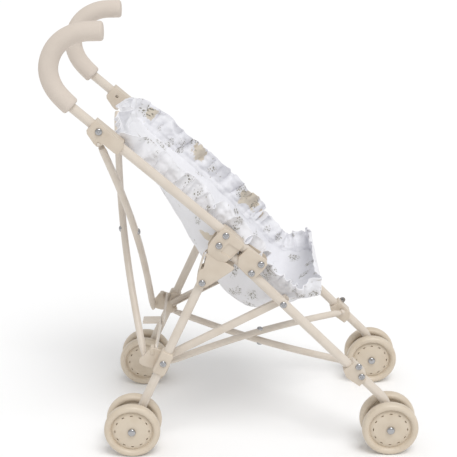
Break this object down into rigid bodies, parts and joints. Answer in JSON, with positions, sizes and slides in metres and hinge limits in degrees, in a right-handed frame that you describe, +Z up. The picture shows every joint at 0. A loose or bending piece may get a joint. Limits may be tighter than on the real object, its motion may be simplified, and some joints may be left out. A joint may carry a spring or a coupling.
{
  "type": "doll stroller",
  "caption": "Folding toy doll stroller with curved foam grips, a ruffled sling seat, crossed scissor bars and twin wheels on each leg.",
  "frame": {"origin": "on the floor, at the centre of the object seen from above", "axes": "+X is forward, +Y is to the left of a person pushing it, +Z is up"},
  "size_m": [0.4575, 0.2528, 0.5538],
  "materials": {
    "frame_steel": "satin cream paint on steel tube",
    "bracket_plastic": "moulded cream plastic",
    "wheel_plastic": "moulded cream plastic, satin",
    "grip_foam": "matte closed foam",
    "screw_chrome": "polished",
    "seat_cloth": "printed white cotton"
  },
  "bodies": {
    "right_front_leg": {"front_leg_tube_right": "frame_steel", "fold_plate_right": "bracket_plastic", "fold_pivot_screw_right": "screw_chrome", "plate_screw_right": "screw_chrome", "strut_screw_right": "screw_chrome", "front_bracket_right": "bracket_plastic", "front_axle_right": "screw_chrome"},
    "right_push_handle": {"push_handle_tube_right": "frame_steel", "handle_grip_right": "grip_foam", "top_bracket_right": "bracket_plastic", "top_bracket_screw_right": "screw_chrome", "side_hinge_bracket_right": "bracket_plastic", "side_hinge_screw_right": "screw_chrome", "leg_pivot_screw_right": "screw_chrome"},
    "right_rear_leg": {"rear_leg_tube_right": "frame_steel", "rear_bracket_right": "bracket_plastic", "rear_bracket_screw_right": "screw_chrome", "rear_axle_right": "screw_chrome"},
    "right_strut": {"side_strut_right": "frame_steel"},
    "right_top_swivel": {"top_swivel_right": "frame_steel"},
    "right_front_swivel": {"front_swivel_right": "frame_steel"},
    "right_rear_cross_bar": {"rear_cross_bar_right": "frame_steel"},
    "right_lower_cross_bar": {"lower_cross_bar_right": "frame_steel"},
    "right_crossbar_link": {"crossbar_link_right": "frame_steel"},
    "right_front_outer_wheel": {"front_wheel_outer_right": "wheel_plastic"},
    "right_front_inner_wheel": {"front_wheel_inner_right": "wheel_plastic"},
    "right_rear_outer_wheel": {"rear_wheel_outer_right": "wheel_plastic"},
    "right_rear_inner_wheel": {"rear_wheel_inner_right": "wheel_plastic"},
    "left_front_leg": {"front_leg_tube_left": "frame_steel", "fold_plate_left": "bracket_plastic", "fold_pivot_screw_left": "screw_chrome", "plate_screw_left": "screw_chrome", "strut_screw_left": "screw_chrome", "front_bracket_left": "bracket_plastic", "front_axle_left": "screw_chrome"},
    "left_push_handle": {"push_handle_tube_left": "frame_steel", "handle_grip_left": "grip_foam", "top_bracket_left": "bracket_plastic", "top_bracket_screw_left": "screw_chrome", "side_hinge_bracket_left": "bracket_plastic", "side_hinge_screw_left": "screw_chrome", "leg_pivot_screw_left": "screw_chrome"},
    "left_rear_leg": {"rear_leg_tube_left": "frame_steel", "rear_bracket_left": "bracket_plastic", "rear_bracket_screw_left": "screw_chrome", "rear_axle_left": "screw_chrome"},
    "left_strut": {"side_strut_left": "frame_steel"},
    "left_top_swivel": {"top_swivel_left": "frame_steel"},
    "left_front_swivel": {"front_swivel_left": "frame_steel"},
    "left_rear_cross_bar": {"rear_cross_bar_left": "frame_steel"},
    "left_lower_cross_bar": {"lower_cross_bar_left": "frame_steel"},
    "left_crossbar_link": {"crossbar_link_left": "frame_steel"},
    "left_front_outer_wheel": {"front_wheel_outer_left": "wheel_plastic"},
    "left_front_inner_wheel": {"front_wheel_inner_left": "wheel_plastic"},
    "left_rear_outer_wheel": {"rear_wheel_outer_left": "wheel_plastic"},
    "left_rear_inner_wheel": {"rear_wheel_inner_left": "wheel_plastic"},
    "seat_lower": {"seat_pouch": "seat_cloth", "front_ruffle": "seat_cloth"},
    "seat_upper": {"seat_back_panel": "seat_cloth", "back_ruffle": "seat_cloth"}
  },
  "joints": [
    {"name": "frame_fold", "type": "hinge", "parent": "right_front_leg", "child": "right_push_handle", "pos_m": [0.02855, -0.102, 0.2587], "axis": [0, 1, 0], "range_deg": [0, 85], "deforming": ["seat_pouch", "seat_back_panel", "front_ruffle", "back_ruffle"]},
    {"name": "left_side_close", "type": "slide", "parent": "right_front_leg", "child": "left_front_leg", "axis": [0, -1, 0], "range_m": [0, 0.144]},
    {"name": "seat_close", "type": "slide", "parent": "right_front_leg", "child": "seat_lower", "axis": [0, -1, 0], "range_m": [0, 0.072]},
    {"name": "left_handle_fold", "type": "hinge", "parent": "left_front_leg", "child": "left_push_handle", "pos_m": [0.02855, 0.102, 0.2587], "axis": [0, 1, 0], "range_deg": [0, 86]},
    {"name": "seat_back_fold", "type": "hinge", "parent": "seat_lower", "child": "seat_upper", "pos_m": [0.02855, 0, 0.2587], "axis": [0, 1, 0], "range_deg": [0, 86]},
    {"name": "right_strut_turn", "type": "hinge", "parent": "right_front_leg", "child": "right_strut", "pos_m": [0.05615, -0.0903, 0.2037], "axis": [0, 1, 0], "range_deg": [0, 48.69]},
    {"name": "right_leg_fold", "type": "hinge", "parent": "right_push_handle", "child": "right_rear_leg", "pos_m": [-0.04385, -0.102, 0.2351], "axis": [0, 1, 0], "range_deg": [-53.2, 0]},
    {"name": "right_top_swing", "type": "hinge", "parent": "right_push_handle", "child": "right_top_swivel", "pos_m": [-0.16225, -0.102, 0.411], "axis": [0, 1, 0], "range_deg": [-20.47, 0]},
    {"name": "right_front_swing", "type": "hinge", "parent": "right_front_leg", "child": "right_front_swivel", "pos_m": [0.14875, -0.083, 0.112], "axis": [0, 1, 0], "range_deg": [0, 28.72]},
    {"name": "right_rear_scissor", "type": "hinge", "parent": "right_top_swivel", "child": "right_rear_cross_bar", "pos_m": [-0.16225, -0.102, 0.411], "axis": [0.9903, 0, 0.1393], "range_deg": [-26, 0]},
    {"name": "right_lower_scissor", "type": "hinge", "parent": "right_front_swivel", "child": "right_lower_cross_bar", "pos_m": [0.14875, -0.083, 0.112], "axis": [-0.0146, 0, -0.9999], "range_deg": [-31.1, 0]},
    {"name": "right_crossbar_fold", "type": "hinge", "parent": "right_rear_leg", "child": "right_crossbar_link", "pos_m": [-0.10325, -0.0873, 0.137], "axis": [1, 0, 0], "range_deg": [-82.52, 0]},
    {"name": "left_strut_turn", "type": "hinge", "parent": "left_front_leg", "child": "left_strut", "pos_m": [0.05615, 0.0903, 0.2037], "axis": [0, 1, 0], "range_deg": [0, 48.69]},
    {"name": "left_leg_fold", "type": "hinge", "parent": "left_push_handle", "child": "left_rear_leg", "pos_m": [-0.04385, 0.102, 0.2351], "axis": [0, 1, 0], "range_deg": [-53.2, 0]},
    {"name": "left_top_swing", "type": "hinge", "parent": "left_push_handle", "child": "left_top_swivel", "pos_m": [-0.16225, 0.102, 0.411], "axis": [0, 1, 0], "range_deg": [-20.47, 0]},
    {"name": "left_front_swing", "type": "hinge", "parent": "left_front_leg", "child": "left_front_swivel", "pos_m": [0.14875, 0.083, 0.112], "axis": [0, 1, 0], "range_deg": [0, 28.72]},
    {"name": "left_rear_scissor", "type": "hinge", "parent": "left_top_swivel", "child": "left_rear_cross_bar", "pos_m": [-0.16225, 0.102, 0.411], "axis": [0.9903, 0, 0.1393], "range_deg": [0, 26]},
    {"name": "left_lower_scissor", "type": "hinge", "parent": "left_front_swivel", "child": "left_lower_cross_bar", "pos_m": [0.14875, 0.083, 0.112], "axis": [-0.0146, 0, -0.9999], "range_deg": [0, 31.1]},
    {"name": "left_crossbar_fold", "type": "hinge", "parent": "left_rear_leg", "child": "left_crossbar_link", "pos_m": [-0.10325, 0.0873, 0.137], "axis": [1, 0, 0], "range_deg": [0, 82.52]},
    {"name": "right_front_outer_wheel_spin", "type": "hinge", "parent": "right_front_leg", "child": "right_front_outer_wheel", "pos_m": [0.19275, -0.117, 0.036], "axis": [0, 1, 0], "continuous": true},
    {"name": "right_front_inner_wheel_spin", "type": "hinge", "parent": "right_front_leg", "child": "right_front_inner_wheel", "pos_m": [0.19275, -0.087, 0.036], "axis": [0, 1, 0], "continuous": true},
    {"name": "right_rear_outer_wheel_spin", "type": "hinge", "parent": "right_rear_leg", "child": "right_rear_outer_wheel", "pos_m": [-0.13725, -0.117, 0.036], "axis": [0, 1, 0], "continuous": true},
    {"name": "right_rear_inner_wheel_spin", "type": "hinge", "parent": "right_rear_leg", "child": "right_rear_inner_wheel", "pos_m": [-0.13725, -0.087, 0.036], "axis": [0, 1, 0], "continuous": true},
    {"name": "left_front_outer_wheel_spin", "type": "hinge", "parent": "left_front_leg", "child": "left_front_outer_wheel", "pos_m": [0.19275, 0.117, 0.036], "axis": [0, 1, 0], "continuous": true},
    {"name": "left_front_inner_wheel_spin", "type": "hinge", "parent": "left_front_leg", "child": "left_front_inner_wheel", "pos_m": [0.19275, 0.087, 0.036], "axis": [0, 1, 0], "continuous": true},
    {"name": "left_rear_outer_wheel_spin", "type": "hinge", "parent": "left_rear_leg", "child": "left_rear_outer_wheel", "pos_m": [-0.13725, 0.117, 0.036], "axis": [0, 1, 0], "continuous": true},
    {"name": "left_rear_inner_wheel_spin", "type": "hinge", "parent": "left_rear_leg", "child": "left_rear_inner_wheel", "pos_m": [-0.13725, 0.087, 0.036], "axis": [0, 1, 0], "continuous": true}
  ],
  "couplings": [
    {"joint": "left_side_close", "follows": "frame_fold", "m_per_rad": 0.095718},
    {"joint": "seat_close", "follows": "frame_fold", "m_per_rad": 0.047859},
    {"joint": "left_handle_fold", "follows": "frame_fold", "ratio": 1},
    {"joint": "seat_back_fold", "follows": "frame_fold", "ratio": 1},
    {"joint": "right_strut_turn", "follows": "frame_fold", "ratio": 0.567},
    {"joint": "right_leg_fold", "follows": "frame_fold", "ratio": -0.62},
    {"joint": "right_top_swing", "follows": "frame_fold", "ratio": -0.235},
    {"joint": "right_front_swing", "follows": "frame_fold", "ratio": 0.332},
    {"joint": "right_rear_scissor", "follows": "frame_fold", "ratio": -0.3},
    {"joint": "right_lower_scissor", "follows": "frame_fold", "ratio": -0.36},
    {"joint": "right_crossbar_fold", "follows": "frame_fold", "ratio": -0.965},
    {"joint": "left_strut_turn", "follows": "frame_fold", "ratio": 0.567},
    {"joint": "left_leg_fold", "follows": "frame_fold", "ratio": -0.62},
    {"joint": "left_top_swing", "follows": "frame_fold", "ratio": -0.235},
    {"joint": "left_front_swing", "follows": "frame_fold", "ratio": 0.332},
    {"joint": "left_rear_scissor", "follows": "frame_fold", "ratio": 0.3},
    {"joint": "left_lower_scissor", "follows": "frame_fold", "ratio": 0.36},
    {"joint": "left_crossbar_fold", "follows": "frame_fold", "ratio": 0.965}
  ]
}
